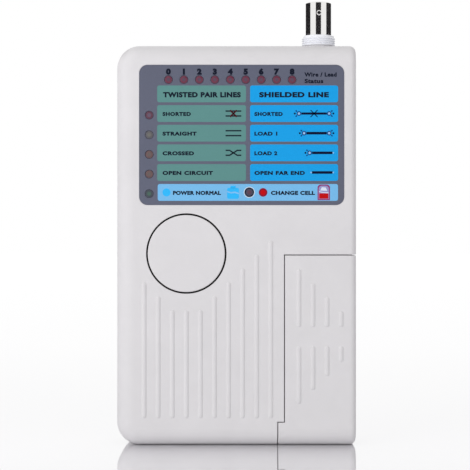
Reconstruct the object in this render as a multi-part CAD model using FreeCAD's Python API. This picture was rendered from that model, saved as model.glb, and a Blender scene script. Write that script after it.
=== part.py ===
"""Handheld network cable tester with a docked remote unit.

The main unit is a two-shell plastic case that stands on its bottom edge. Its front carries a printed
overlay with indicator lamps, a large round test button and raised grip ribs. A coaxial bayonet jack
stands on the top, three cable ports open on the right side, and a battery door closes the back. The
remote unit fills a bay in the lower right corner and slides out to the right on a T-shaped rail.

Frame: millimetres, +X right and +Z up as seen from the front, front face towards -Y. The origin is at
the middle of the bottom face.
"""
import FreeCAD, Part
import math
import os

V = FreeCAD.Vector

# ---- driving dimensions ----
WIDTH = 90.0
HEIGHT = 150.5
CASE_DEPTH = 31.2
WALL = 2.0
RIB_PROUD = 0.4                 # grip ribs stand this far off the front and the battery door

LEFT, RIGHT = -WIDTH / 2, WIDTH / 2
FRONT, BACK = -CASE_DEPTH / 2, CASE_DEPTH / 2
INNER_FRONT, INNER_BACK = FRONT + WALL, BACK - WALL
PARTING = -1.0                  # plane where the front and rear shells meet
LIP_HEIGHT = 1.5
SEAM_WIDTH, SEAM_DEPTH = 0.35, 0.45

OUTLINE_CORNER = 8.6            # left-hand corners of the case seen from the front
FRONT_ROUND, BACK_ROUND = 6.4, 3.0
RIGHT_END_ROUND = 2.2

# remote unit's bay: an L-shaped corner with a small foot at the bottom
BAY_LEFT, BAY_TOP = 18.1, 71.6
FOOT_LEFT, FOOT_TOP = 15.6, 8.95
BAY_GAP = 0.3
SPLIT_EDGE_ROUND = 0.3
RAIL_CENTRE_Y = 7.0
RAIL_NECK, RAIL_HEAD = 3.0, 7.0
RAIL_CLEARANCE = 0.2

# printed overlay and its lamps
LABEL_X, LABEL_Z = (-36.4, 40.5), (90.25, 142.9)
LABEL_CORNER = 3.2
LABEL_THICKNESS = 0.35
ROW_PITCH = 7.36
WIRE_LAMP_COUNT = 9
WIRE_LAMP_FIRST_X, WIRE_LAMP_PITCH, WIRE_LAMP_Z = -25.4, 5.79, 137.3
RESULT_LAMP_X, RESULT_LAMP_TOP_Z = -32.6, 124.0
BATTERY_LAMP = (4.9, 95.1)
LAMP_RADIUS = 1.5
LAMP_HOLE = 1.65

# test button
BUTTON_X, BUTTON_Z = -18.7, 72.15
BUTTON_HOLE, BUTTON_RADIUS = 15.08, 14.45
BUTTON_PROUD = 0.25
BUTTON_CAP = 1.9
BUTTON_FLANGE = 16.2

# grip ribs: pitch, radius of each half-sunk rod, lower end, and steps above the shortest rib
RIB_PITCH = 5.27
RIB_ROD = 1.25
RIB_BOTTOM_Z, RIB_SHORT_TOP_Z, RIB_STEP = 10.05, 51.3, 5.22
RIB_STEPS = (2, 1, 0, 0, 0, 1, 2, 3, 4, 5)
RIB_FIRST_X = BUTTON_X - 3 * RIB_PITCH
REMOTE_RIB_FIRST_X = RIB_FIRST_X + 11 * RIB_PITCH
REMOTE_RIB_MIDDLE_Z, REMOTE_RIB_GAP = 41.05, 6.3
REMOTE_RIB_LONGEST, REMOTE_RIB_STEP = 22.4, 5.2

# circuit boards, both in one plane
BOARD_FRONT, BOARD_THICKNESS = -10.2, 1.6
BOARD_REAR = BOARD_FRONT + BOARD_THICKNESS

# case screws, seen from the front
MAIN_SCREWS = ((-38.2, 143.8), (39.4, 131.7), (-38.0, 5.8), (9.0, 6.5))
REMOTE_SCREWS = ((23.9, 65.3), (23.9, 6.6))
SCREW_SEAT_Y, BOSS_MEET_Y = 4.5, 2.0
BOSS_RADIUS, WELL_RADIUS, SCREW_HEAD = 3.3, 2.7, 2.45
SCREW_SHANK, SCREW_HOLE = 1.2, 1.4
MAIN_BOARD_SCREWS = ((-38.5, 62.5), (9.5, 62.5), (22.5, 100.0), (-14.0, 143.6))
REMOTE_BOARD_SCREWS = ((23.6, 44.5), (23.6, 25.0))

# coaxial jack
COAX_X, COAX_Y = 31.5, -1.0
COAX_BODY = 14.5
COAX_BODY_BOTTOM_Z = 135.5
NOSE_RADIUS, NOSE_MINOR, THREAD_PITCH = 6.35, 5.85, 0.8
NOSE_WAIST, NOSE_RING = 4.7, 5.6    # the case closes round the waist, with a low ring on its top
NOSE_LOW_Z, NOSE_TOP_Z = HEIGHT + 0.8, HEIGHT + 4.8
SOCKET_DEPTH = 3.0
BARREL_RADIUS, BARREL_BORE, BARREL_TOP_Z = 4.85, 4.1, HEIGHT + 17.5
LUG_RADIUS, LUG_REACH, LUG_BELOW_TOP = 0.95, 5.5, 4.35

# side ports: height of each port's middle
FACE_X = RIGHT
MAIN_WIDE_PORT_Z, MAIN_NARROW_PORT_Z, MAIN_FLAT_PORT_Z = 120.0, 102.5, 86.0
REMOTE_WIDE_PORT_Z, REMOTE_NARROW_PORT_Z, REMOTE_SQUARE_PORT_Z = 52.6, 34.4, 17.4
PORT_CLEARANCE = 0.25
WIDE_JACK = {"half": 8.0, "height": 13.2, "depth": 17.8, "plug": 5.95, "ways": 8}
NARROW_JACK = {"half": 6.6, "height": 11.5, "depth": 15.5, "plug": 4.95, "ways": 6}
PLUG_FLOOR, PLUG_ROOF, PLUG_DEPTH = 1.8, 8.7, 13.5
LATCH_STEPS = ((3.25, 10.2), (1.75, 11.0))
CONTACT_PITCH, CONTACT_WIDTH = 1.02, 0.42
SHEET = 0.25
FLAT_SHELL_HALF, FLAT_SHELL_V, FLAT_DEPTH = 6.6, (0.3, 6.1), 14.0
SQUARE_SHELL_HALF, SQUARE_SHELL_V, SQUARE_DEPTH = 6.0, (0.3, 11.2), 16.0

# battery and its compartment
CELL_X, CELL_Z = (-38.7, -12.3), (12.2, 60.6)
CELL_Y = (-4.2, 13.2)
COMPARTMENT_X, COMPARTMENT_Z = (-39.3, -11.7), (11.6, 67.0)
COMPARTMENT_WALL, COMPARTMENT_FLOOR = 1.5, -4.5
DOOR_X, DOOR_TOP_Z = (-40.5, -10.5), 68.2
HINGE_Y, HINGE_Z, HINGE_ROUND = 14.2, 11.0, 1.4
PEG_RADIUS, PEG_HOLE, PEG_REACH = 0.7, 0.8, 1.2
DOOR_GAP = 0.2
TERMINAL_SPREAD, TERMINAL_Y = 6.35, 4.5

# sound switch on the left side
SWITCH_Z, SWITCH_TRAVEL, SWITCH_Y = 116.4, 2.0, -6.5

# buzzer
BUZZER_X, BUZZER_Z, BUZZER_RADIUS, BUZZER_HEIGHT = -8.0, 101.0, 6.0, 8.5


# ---- small helpers ----
def box(x, y, z):
    """A box from three (low, high) pairs."""
    return Part.makeBox(x[1] - x[0], y[1] - y[0], z[1] - z[0], V(x[0], y[0], z[0]))


def rod(radius, start, end):
    """A cylinder between two points."""
    way = V(*end) - V(*start)
    return Part.makeCylinder(radius, way.Length, V(*start), way)


def rod_y(radius, x, z, y0, y1):
    """A cylinder along Y."""
    return rod(radius, (x, y0, z), (x, y1, z))


def join(first, *others):
    """One fused solid."""
    return first.fuse(list(others)).removeSplitter() if others else first


def six_round(u, v, radius):
    """Six points evenly round (u, v)."""
    turns = [i * math.pi / 3 for i in range(6)]
    return [(u + radius * math.cos(turn), v + radius * math.sin(turn)) for turn in turns]


def near(a, b):
    return abs(a - b) < 1e-4


def round_edges(shape, radius, chosen):
    """Rounds the edges whose bounding box passes the test."""
    return shape.makeFillet(radius, [e for e in shape.Edges if chosen(e.BoundBox)])


def bent_wire(start, corner, end, bend, radius):
    """A round wire with one right-angle bend."""
    entering, leaving = V(*corner) - V(*start), V(*end) - V(*corner)
    entering.normalize()
    leaving.normalize()
    arc_start, arc_end = V(*corner) - entering * bend, V(*corner) + leaving * bend
    inside = V(*corner) + (leaving - entering) * bend
    arc_middle = inside + (entering - leaving) * (bend * math.sqrt(0.5))
    path = Part.Wire([Part.makeLine(V(*start), arc_start), Part.Arc(arc_start, arc_middle, arc_end).toShape(),
                      Part.makeLine(arc_end, V(*end))])
    section = Part.Wire([Part.makeCircle(radius, V(*start), entering)])
    return path.makePipeShell([section], True, False)


def plate(x, z, corner, y0, y1):
    """A flat plate in XZ with rounded corners."""
    return round_edges(box(x, (y0, y1), z), corner, lambda b: b.XLength < 1e-4 and b.ZLength < 1e-4)


def revolve_z(x, y, outline):
    """A turned piece about the vertical line through (x, y), from (radius, z) points."""
    points = [V(x + r, y, z) for r, z in outline]
    face = Part.Face(Part.makePolygon(points + points[:1]))
    return face.revolve(V(x, y, 0), V(0, 0, 1), 360)


def prism_y(outline, y0, y1):
    """A prism along Y from an outline of (x, z) points."""
    points = [V(x, y0, z) for x, z in outline]
    return Part.Face(Part.makePolygon(points + points[:1])).extrude(V(0, y1 - y0, 0))


# ---- the case as a whole ----
def case_block(inset):
    """The case's outer form, moved in by inset: broad rounds at the left, square at the right."""
    overrun = 20.0              # the block runs past the right side, which is cut square afterwards
    left, right = LEFT + inset, RIGHT - inset
    front, back = FRONT + inset, BACK - inset
    low, high = inset, HEIGHT - inset
    block = box((left, right + overrun), (front, back), (low, high))
    block = round_edges(block, OUTLINE_CORNER - inset,
                        lambda b: near(b.XMax, left) and b.YLength > 1 and b.ZLength < 1e-4)
    far = right + overrun
    block = round_edges(block, FRONT_ROUND - inset, lambda b: near(b.YMax, front) and not near(b.XMin, far))
    block = round_edges(block, BACK_ROUND - inset, lambda b: near(b.YMin, back) and not near(b.XMin, far))
    block = block.common(box((left - 1, right), (front - 1, back + 1), (low - 1, high + 1))).Solids[0]
    if inset < RIGHT_END_ROUND:
        block = round_edges(block, RIGHT_END_ROUND - inset, lambda b: near(b.XMin, right))
    return block


def bay(grow):
    """The L-shaped corner that the remote unit fills, grown (or, below 0, shrunk) at its left and top."""
    far, deep = RIGHT + 30, (FRONT - 5, BACK + 5)
    body = box((BAY_LEFT - grow, far), deep, (-5, BAY_TOP + grow))
    foot = box((FOOT_LEFT - grow, far), deep, (-5, FOOT_TOP + grow))
    return join(body, foot)


BLOCKS = {}


def block_at(inset):
    """case_block, made once for each inset."""
    if inset not in BLOCKS:
        BLOCKS[inset] = case_block(inset)
    return BLOCKS[inset]


def main_form(inset):
    return block_at(inset).cut(bay(BAY_GAP / 2 + inset)).Solids[0]


def remote_form(inset):
    return block_at(inset).common(bay(-BAY_GAP / 2 - inset)).Solids[0]


def soften_split(form, grow):
    """Rounds the front and back edges of a form along the split between main and remote."""
    left, top = BAY_LEFT - grow, BAY_TOP + grow
    foot_left, foot_top = FOOT_LEFT - grow, FOOT_TOP + grow

    def on_split(b):
        on_face = b.YLength < 1e-4 and (near(b.YMin, FRONT) or near(b.YMin, BACK))
        upright = b.XLength < 1e-4 and (near(b.XMin, left) or near(b.XMin, foot_left))
        level = b.ZLength < 1e-4 and (near(b.ZMin, top) or near(b.ZMin, foot_top))
        return on_face and (level or (upright and b.ZMax < BAY_TOP + 1))

    return round_edges(form, SPLIT_EDGE_ROUND, on_split)


def slab(y0, y1):
    return box((LEFT - 10, RIGHT + 10), (y0, y1), (-10, HEIGHT + 40))


def shells(form, outer):
    """Front and rear shells: 2 mm walls, a lip on the front one, a seam groove and rebate in the rear one."""
    hollow = form(WALL)
    skin = outer.cut(hollow)
    lip = form(1.1).cut(hollow).common(slab(PARTING - 0.6, PARTING + LIP_HEIGHT))
    front = join(skin.common(slab(FRONT - 1, PARTING)), lip)
    rear = skin.common(slab(PARTING, BACK + 1))
    rear = rear.cut(form(1.0).common(slab(PARTING - 1, PARTING + LIP_HEIGHT + 0.1)))
    rear = rear.cut(slab(PARTING - 1, PARTING + SEAM_WIDTH).cut(form(SEAM_DEPTH)))
    return front, rear


def front_boss(x, z):
    boss = rod_y(BOSS_RADIUS - 0.3, x, z, INNER_FRONT - 0.5, BOSS_MEET_Y - 0.05)
    pilot = rod_y(SCREW_SHANK + 0.05, x, z, BOARD_FRONT - 0.5, BOSS_MEET_Y)
    return boss, pilot


def rear_boss(x, z):
    boss = rod_y(BOSS_RADIUS, x, z, BOSS_MEET_Y, INNER_BACK + 0.5)
    well = rod_y(WELL_RADIUS, x, z, SCREW_SEAT_Y, BACK + 1)
    hole = rod_y(SCREW_HOLE, x, z, BOSS_MEET_Y - 1, SCREW_SEAT_Y)
    return boss, join(well, hole)


def board_post(x, z):
    post = rod_y(2.2, x, z, INNER_FRONT - 0.5, BOARD_FRONT)
    pilot = rod_y(0.95, x, z, INNER_FRONT - 0.2, BOARD_FRONT + 0.1)
    return post, pilot


def add_and_cut(shell, pairs, extra_cuts=()):
    """Fuses the first of each pair to a shell, then cuts the second of each and any further tools."""
    shell = shell.fuse([add for add, _ in pairs])
    return shell.cut([cut for _, cut in pairs] + list(extra_cuts))


# ---- grip ribs ----
def grip_rib(x, z0, z1):
    """A rod with round ends, sunk so that a shallow rib stands off the front face."""
    y = FRONT - RIB_PROUD + RIB_ROD
    ends = [Part.makeSphere(RIB_ROD, V(x, y, z)) for z in (z0 + RIB_ROD, z1 - RIB_ROD)]
    return join(rod(RIB_ROD, (x, y, z0 + RIB_ROD), (x, y, z1 - RIB_ROD)), *ends)


def main_ribs():
    return [grip_rib(RIB_FIRST_X + i * RIB_PITCH, RIB_BOTTOM_Z, RIB_SHORT_TOP_Z + steps * RIB_STEP)
            for i, steps in enumerate(RIB_STEPS)]


def remote_ribs():
    """Two mirrored groups that shorten towards the right, like an arrow that says which way to pull."""
    ribs = []
    for i in range(4):
        x = REMOTE_RIB_FIRST_X + i * RIB_PITCH
        length = REMOTE_RIB_LONGEST - i * REMOTE_RIB_STEP
        above = REMOTE_RIB_MIDDLE_Z + REMOTE_RIB_GAP / 2
        below = REMOTE_RIB_MIDDLE_Z - REMOTE_RIB_GAP / 2
        ribs += [grip_rib(x, above, above + length), grip_rib(x, below - length, below)]
    return ribs


# ---- lamps ----
def wire_lamp_places():
    return [(WIRE_LAMP_FIRST_X + i * WIRE_LAMP_PITCH, WIRE_LAMP_Z) for i in range(WIRE_LAMP_COUNT)]


def result_lamp_places():
    return [(RESULT_LAMP_X, RESULT_LAMP_TOP_Z - i * ROW_PITCH) for i in range(5)]


def lamp_places():
    return wire_lamp_places() + result_lamp_places() + [BATTERY_LAMP]


def lamp(x, z):
    """A 3 mm indicator lamp: flange, body and dome, its tip just inside the overlay's face."""
    dome_y = FRONT + LAMP_RADIUS + 0.1
    flange = rod_y(1.9, x, z, BOARD_FRONT - 1.0, BOARD_FRONT)
    body = rod_y(LAMP_RADIUS, x, z, dome_y, BOARD_FRONT)
    return join(flange, body, Part.makeSphere(LAMP_RADIUS, V(x, dome_y, z)))


def lamps(places):
    return Part.makeCompound([lamp(x, z) for x, z in places])


def lamp_leads():
    pairs = [(x + side, z) for x, z in lamp_places() for side in (-1.27, 1.27)]
    return Part.makeCompound([rod_y(0.25, x, z, BOARD_FRONT, BOARD_REAR + 1.2) for x, z in pairs])


# ---- side ports: u runs up from the port's middle, v back from the board, w in from the right side ----
def port_box(middle, u, v, w):
    x = (FACE_X - w[1], FACE_X - w[0])
    return box(x, (BOARD_REAR + v[0], BOARD_REAR + v[1]), (middle + u[0], middle + u[1]))


def plug_space(middle, jack, w0):
    """The hole a modular plug goes into, with the stepped notch for its latch."""
    half = jack["plug"]
    depth = (w0, PLUG_DEPTH)
    steps, floor = [], PLUG_ROOF
    for half_notch, roof in LATCH_STEPS:
        steps.append(port_box(middle, (-half_notch, half_notch), (floor - 0.1, roof), depth))
        floor = roof
    return join(port_box(middle, (-half, half), (PLUG_FLOOR, PLUG_ROOF), depth), *steps)


def jack_housing(middle, jack, shielded):
    margin = SHEET + 0.05 if shielded else 0.0
    half, top = jack["half"] - margin, jack["height"] - margin
    body = port_box(middle, (-half, half), (0.0, top), (margin, jack["depth"] - margin))
    return body.cut(plug_space(middle, jack, -1.0))


def jack_contacts(middle, jack):
    """Spring wires that rise from the plug space's floor to its back wall."""
    wires = []
    first = -(jack["ways"] - 1) / 2 * CONTACT_PITCH
    slope = math.atan2(2.0, PLUG_DEPTH - 2.2)
    for i in range(jack["ways"]):
        z = middle + first + i * CONTACT_PITCH
        front = (FACE_X - 2.2, BOARD_REAR + PLUG_FLOOR + 0.15)
        back = (FACE_X - PLUG_DEPTH, front[1] + math.tan(slope) * (PLUG_DEPTH - 2.2))
        outline = [V(front[0], front[1], z), V(back[0], back[1], z),
                   V(back[0], back[1] + 0.3, z), V(front[0], front[1] + 0.3, z)]
        face = Part.Face(Part.makePolygon(outline + outline[:1]))
        face.translate(V(0, 0, -CONTACT_WIDTH / 2))
        wires.append(face.extrude(V(0, 0, CONTACT_WIDTH)))
    return Part.makeCompound(wires)


def jack_shield(middle, jack):
    """A sheet metal can round the housing, open towards the board, with a window for the plug."""
    half, top, depth = jack["half"], jack["height"], jack["depth"]
    can = port_box(middle, (-half, half), (0.0, top), (0.0, depth))
    inside = port_box(middle, (SHEET - half, half - SHEET), (-1.0, top - SHEET), (SHEET, depth - SHEET))
    return can.cut([inside, plug_space(middle, jack, -1.0)])


def port_opening(middle, half, v):
    c = PORT_CLEARANCE
    return port_box(middle, (-half - c, half + c), (v[0] - c, v[1] + c), (-2.0, WALL + 1.0))


def flat_port(middle):
    """Flat four-way bus port: shell, insulator with its tongue, and contact strips."""
    half, (low, high), depth = FLAT_SHELL_HALF, FLAT_SHELL_V, FLAT_DEPTH
    shell = port_box(middle, (-half, half), (low, high), (0.0, depth))
    shell = round_edges(shell, 0.6, lambda b: b.XLength > 5)
    inner_u, inner_v = (-half + 0.3, half - 0.3), (low + 0.3, high - 0.3)
    shell = shell.cut(port_box(middle, inner_u, inner_v, (-1.0, depth - 0.3)))
    back = port_box(middle, (-6.2, 6.2), (low + 0.35, high - 0.35), (10.0, depth - 0.35))
    tongue = port_box(middle, (-5.5, 5.5), (3.2, 5.05), (1.4, 10.2))
    strips = [port_box(middle, (u - 0.5, u + 0.5), (3.05, 3.2), (2.2, 10.0)) for u in (-3.5, -1.0, 1.0, 3.5)]
    return shell, join(back, tongue), Part.makeCompound(strips)


def square_port(middle):
    """Square four-way bus port: shell, insulator with its tongue, and contact strips."""
    half, (low, high), depth = SQUARE_SHELL_HALF, SQUARE_SHELL_V, SQUARE_DEPTH
    centre = (low + high) / 2
    shell = port_box(middle, (-half, half), (low, high), (0.0, depth))
    shell = round_edges(shell, 0.5, lambda b: b.XLength > 5)
    inner_u, inner_v = (-half + 0.3, half - 0.3), (low + 0.3, high - 0.3)
    shell = shell.cut(port_box(middle, inner_u, inner_v, (-1.0, depth - 0.3)))
    body = port_box(middle, (-half + 0.35, half - 0.35), (low + 0.35, high - 0.35), (0.3, depth - 0.35))
    hole = port_box(middle, (-4.25, 4.25), (centre - 3.9, centre + 3.9), (-1.0, 11.5))
    hole = round_edges(hole, 1.6, lambda b: b.XLength > 5 and near(b.YMax, BOARD_REAR + centre + 3.9))
    tongue = port_box(middle, (-2.8, 2.8), (centre - 1.6, centre + 1.6), (2.0, 11.8))
    strips = [port_box(middle, (u - 0.5, u + 0.5), (centre + v, centre + v + 0.12), (3.0, 11.4))
              for u in (-1.25, 1.25) for v in (-1.72, 1.6)]
    return shell, join(body.cut(hole), tongue), Part.makeCompound(strips)


# ---- coaxial jack ----
def coax_body():
    """Square plastic body on the board, a waist that the case closes round, and a threaded nose above it."""
    half = COAX_BODY / 2
    under = HEIGHT - WALL - 0.1
    body = box((COAX_X - half, COAX_X + half), (BOARD_REAR, COAX_Y + half), (COAX_BODY_BOTTOM_Z, under))
    outline = [(0.0, under - 0.1), (NOSE_WAIST, under - 0.1), (NOSE_WAIST, NOSE_LOW_Z)]
    z = NOSE_LOW_Z
    while z + THREAD_PITCH < NOSE_TOP_Z - 0.3:
        crest = (z + 0.35 * THREAD_PITCH, z + 0.6 * THREAD_PITCH)
        outline += [(NOSE_MINOR, z), (NOSE_RADIUS, crest[0]), (NOSE_RADIUS, crest[1])]
        z += THREAD_PITCH
    outline += [(NOSE_MINOR, z), (NOSE_MINOR, NOSE_TOP_Z - 0.25), (NOSE_MINOR - 0.25, NOSE_TOP_Z)]
    nose = revolve_z(COAX_X, COAX_Y, outline + [(0.0, NOSE_TOP_Z)])
    socket = rod(BARREL_RADIUS, (COAX_X, COAX_Y, NOSE_TOP_Z - SOCKET_DEPTH), (COAX_X, COAX_Y, NOSE_TOP_Z + 1))
    core = rod(1.05, (COAX_X, COAX_Y, COAX_BODY_BOTTOM_Z + 4), (COAX_X, COAX_Y, NOSE_TOP_Z))
    return join(body, nose).cut([socket, core])


def coax_barrel():
    """Metal outer contact with its two bayonet lugs."""
    low, tip, step = NOSE_TOP_Z - SOCKET_DEPTH, BARREL_TOP_Z, NOSE_TOP_Z + 1.2
    outline = [(BARREL_RADIUS, low), (BARREL_RADIUS, tip - 0.35), (BARREL_RADIUS - 0.35, tip),
               (BARREL_BORE + 0.2, tip), (BARREL_BORE, tip - 0.5), (BARREL_BORE, step),
               (2.45, step), (2.45, low)]
    lug_z = tip - LUG_BELOW_TOP
    lugs = rod_y(LUG_RADIUS, COAX_X, lug_z, COAX_Y - LUG_REACH, COAX_Y + LUG_REACH)
    lugs = round_edges(lugs, 0.3, lambda b: b.YLength < 1e-4)
    lugs = lugs.cut(rod(BARREL_BORE + 0.3, (COAX_X, COAX_Y, lug_z - 2), (COAX_X, COAX_Y, lug_z + 2)))
    return join(revolve_z(COAX_X, COAX_Y, outline), *lugs.Solids)


def coax_insulator():
    low, tip = NOSE_TOP_Z - SOCKET_DEPTH, BARREL_TOP_Z - 1.0
    outline = [(1.1, low), (2.4, low), (2.4, tip - 0.3), (2.2, tip), (1.1, tip)]
    return revolve_z(COAX_X, COAX_Y, outline)


def coax_centre_contact():
    """Socket for the plug's pin, split in four at its mouth."""
    tip = BARREL_TOP_Z - 1.4
    outline = [(0.0, COAX_BODY_BOTTOM_Z + 4.1), (1.0, COAX_BODY_BOTTOM_Z + 4.1), (1.0, tip), (0.65, tip),
               (0.65, tip - 5.5), (0.0, tip - 5.5)]
    socket = revolve_z(COAX_X, COAX_Y, outline)
    slots = [box((COAX_X - 2, COAX_X + 2), (COAX_Y - 0.12, COAX_Y + 0.12), (tip - 4.0, tip + 1)),
             box((COAX_X - 0.12, COAX_X + 0.12), (COAX_Y - 2, COAX_Y + 2), (tip - 4.0, tip + 1))]
    return socket.cut(slots)


# ---- boards and what stands on them ----
def main_board():
    outline = [(-41.5, 58.0), (14.5, 58.0), (14.5, 76.5), (42.4, 76.5), (42.4, 147.0), (-34.4, 147.0),
               (-34.4, 139.9), (-41.5, 139.9)]
    board = prism_y(outline, BOARD_FRONT, BOARD_REAR)
    boss_x, boss_z = MAIN_SCREWS[1]
    cuts = [rod_y(BOSS_RADIUS + 0.2, boss_x, boss_z, BOARD_FRONT - 1, BOARD_REAR + 1)]
    cuts += [rod_y(1.15, x, z, BOARD_FRONT - 1, BOARD_REAR + 1) for x, z in MAIN_BOARD_SCREWS]
    cuts += [rod_y(0.45, x + side, z, BOARD_FRONT - 1, BOARD_REAR + 1)
             for x, z in lamp_places() for side in (-1.27, 1.27)]
    return board.cut(cuts)


def remote_board():
    outline = [(20.8, 10.5), (27.8, 10.5), (27.8, 4.5), (42.4, 4.5), (42.4, 68.6), (27.8, 68.6), (27.8, 61.4),
               (20.8, 61.4)]
    board = prism_y(outline, BOARD_FRONT, BOARD_REAR)
    return board.cut([rod_y(1.15, x, z, BOARD_FRONT - 1, BOARD_REAR + 1) for x, z in REMOTE_BOARD_SCREWS])


def board_screws(places):
    """Small pan-head screws from the rear of a board into its posts."""
    made = []
    for x, z in places:
        head = round_edges(rod_y(1.9, x, z, BOARD_REAR, BOARD_REAR + 1.3), 0.6,
                           lambda b: near(b.YMin, BOARD_REAR + 1.3))
        made.append(join(head, rod_y(0.9, x, z, INNER_FRONT + 0.6, BOARD_REAR + 0.1)))
    return Part.makeCompound(made)


def case_screws(places):
    """Pan-head screws with a cross recess, at the bottom of their wells."""
    made = []
    for x, z in places:
        top = SCREW_SEAT_Y + 1.7
        head = round_edges(rod_y(SCREW_HEAD, x, z, SCREW_SEAT_Y, top), 0.7, lambda b: near(b.YMin, top))
        shank = rod_y(SCREW_SHANK, x, z, BOARD_FRONT + 2.0, SCREW_SEAT_Y + 0.1)
        cross = [box((x - a, x + a), (top - 1.0, top + 1), (z - b, z + b))
                 for a, b in ((1.5, 0.3), (0.3, 1.5))]
        made.append(join(head, shank).cut(cross))
    return Part.makeCompound(made)


def pin_chip(x, z, length, width, pins):
    """A dual-in-line chip lying along X on the rear of the board, with its legs."""
    low, high = BOARD_REAR + 0.5, BOARD_REAR + 4.0
    body = box((x - length / 2, x + length / 2), (low, high), (z - width / 2, z + width / 2))
    dimple = rod_y(0.8, x - length / 2 + 2.0, z, BOARD_REAR + 3.8, BOARD_REAR + 5)
    legs = []
    for i in range(pins // 2):
        leg_x = x + (i - (pins / 2 - 1) / 2) * 2.54
        for side in (-1, 1):
            inner, outer = sorted((z + side * width / 2, z + side * (width / 2 + 0.5)))
            legs.append(box((leg_x - 0.3, leg_x + 0.3), (BOARD_REAR, BOARD_REAR + 2.2), (inner, outer)))
    return [body.cut(dimple), *legs]


def chips():
    return Part.makeCompound(pin_chip(-11.0, 118.0, 35.0, 7.0, 28) + pin_chip(-22.5, 101.0, 13.0, 6.4, 8))


def upright_parts(x0, step, z, count, length, radius):
    """A row of small round parts lying along Z on the rear of the board, each on two bent legs."""
    made = []
    y = BOARD_REAR + radius + 0.2
    for i in range(count):
        x = x0 + i * step
        body = rod(radius, (x, y, z - length / 2), (x, y, z + length / 2))
        body = round_edges(body, radius * 0.35, lambda b: b.ZLength < 1e-4)
        legs = []
        for side in (-1, 1):
            start, turn = z + side * (length / 2 - 0.1), z + side * (length / 2 + 1.3)
            legs.append(bent_wire((x, y, start), (x, y, turn), (x, BOARD_REAR, turn), 0.7, 0.3))
        made.append(join(body, *legs))
    return Part.makeCompound(made)


def capacitors():
    top = BOARD_REAR + 7.0
    cans = [rod_y(2.6, x, 84.0, BOARD_REAR, top) for x in (1.0, 8.5)]
    return Part.makeCompound([round_edges(can, 0.5, lambda b: near(b.YMin, top)) for can in cans])


def crystal():
    can = box((11.0, 21.5), (BOARD_REAR, BOARD_REAR + 3.6), (115.7, 120.3))
    return round_edges(can, 2.2, lambda b: b.YLength > 3)


def buzzer():
    can = rod_y(BUZZER_RADIUS, BUZZER_X, BUZZER_Z, BOARD_REAR, BOARD_REAR + BUZZER_HEIGHT)
    can = round_edges(can, 0.6, lambda b: near(b.YMin, BOARD_REAR + BUZZER_HEIGHT))
    return can.cut(rod_y(1.1, BUZZER_X, BUZZER_Z, BOARD_REAR + 5.0, BOARD_REAR + BUZZER_HEIGHT + 1))


# ---- test button ----
def test_button():
    """Round cap with a skirt and a flange that keeps it behind the front shell, and a post for the switch."""
    x, z = BUTTON_X, BUTTON_Z
    face = FRONT - BUTTON_PROUD
    under = face + BUTTON_CAP
    cap = round_edges(rod_y(BUTTON_RADIUS, x, z, face, under + 2.4), 0.4, lambda b: near(b.YMax, face))
    cap = cap.cut(rod_y(BUTTON_RADIUS - 1.4, x, z, under, under + 3))
    flange_y = INNER_FRONT + 0.1
    flange = rod_y(BUTTON_FLANGE, x, z, flange_y, flange_y + 1.0)
    flange = flange.cut(rod_y(BUTTON_RADIUS - 1.4, x, z, flange_y - 1, flange_y + 2))
    post = rod_y(1.9, x, z, under - 0.2, BOARD_FRONT - 3.0)
    return join(cap, flange, post)


def test_switch_body():
    x, z, low, top = BUTTON_X, BUTTON_Z, BOARD_FRONT, BOARD_FRONT - 2.0
    body = box((x - 3, x + 3), (top, low), (z - 3, z + 3))
    return body.cut(rod_y(1.85, x, z, top - 1, low - 0.3))


def test_switch_plunger():
    return rod_y(1.7, BUTTON_X, BUTTON_Z, BOARD_FRONT - 3.0, BOARD_FRONT - 1.1)


# ---- sound switch ----
def sound_switch_body():
    z = SWITCH_Z + SWITCH_TRAVEL / 2
    body = box((-42.6, -38.0), (BOARD_REAR, BOARD_REAR + 4.2), (z - 4.3, z + 4.3))
    slot = box((-43.0, -41.0), (SWITCH_Y - 1.0, SWITCH_Y + 1.0), (z - 2.3, z + 2.3))
    return body.cut(slot)


def sound_switch_knob():
    knob = box((LEFT + 0.15, -41.3), (SWITCH_Y - 0.8, SWITCH_Y + 0.8), (SWITCH_Z - 1.0, SWITCH_Z + 1.0))
    grooves = [box((LEFT, LEFT + 0.45), (SWITCH_Y - 1, SWITCH_Y + 1), (z - 0.15, z + 0.15))
               for z in (SWITCH_Z - 0.55, SWITCH_Z, SWITCH_Z + 0.55)]
    return knob.cut(grooves)


def sound_switch_cuts():
    """Slot through the left wall and the shallow dish round it."""
    z = SWITCH_Z + SWITCH_TRAVEL / 2
    slot = box((LEFT - 1, LEFT + WALL + 1), (SWITCH_Y - 1.05, SWITCH_Y + 1.05), (z - 2.35, z + 2.35))
    dish = box((LEFT - 1, LEFT + 0.9), (SWITCH_Y - 2.4, SWITCH_Y + 2.4), (z - 5.0, z + 5.0))
    dish = round_edges(dish, 2.3, lambda b: b.XLength > 1 and b.YLength < 1e-4)
    return [slot, dish]


# ---- battery ----
def battery_case():
    return round_edges(box(CELL_X, CELL_Y, CELL_Z), 2.4, lambda b: b.ZLength > 10)


def terminal_places():
    middle = sum(CELL_X) / 2
    return (middle - TERMINAL_SPREAD, TERMINAL_Y), (middle + TERMINAL_SPREAD, TERMINAL_Y)


def battery_terminals():
    """A round stud and a six-sided socket on the battery's top."""
    (stud_x, y), (socket_x, _) = terminal_places()
    top = CELL_Z[1]
    stud = rod(2.8, (stud_x, y, top), (stud_x, y, top + 2.3))
    corners = [V(corner_x, corner_y, top) for corner_x, corner_y in six_round(socket_x, y, 3.9)]
    socket = Part.Face(Part.makePolygon(corners + corners[:1])).extrude(V(0, 0, 2.1))
    socket = socket.cut(rod(2.9, (socket_x, y, top + 0.4), (socket_x, y, top + 3)))
    return Part.makeCompound([round_edges(stud, 0.5, lambda b: near(b.ZMin, top + 2.3)), socket])


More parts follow.
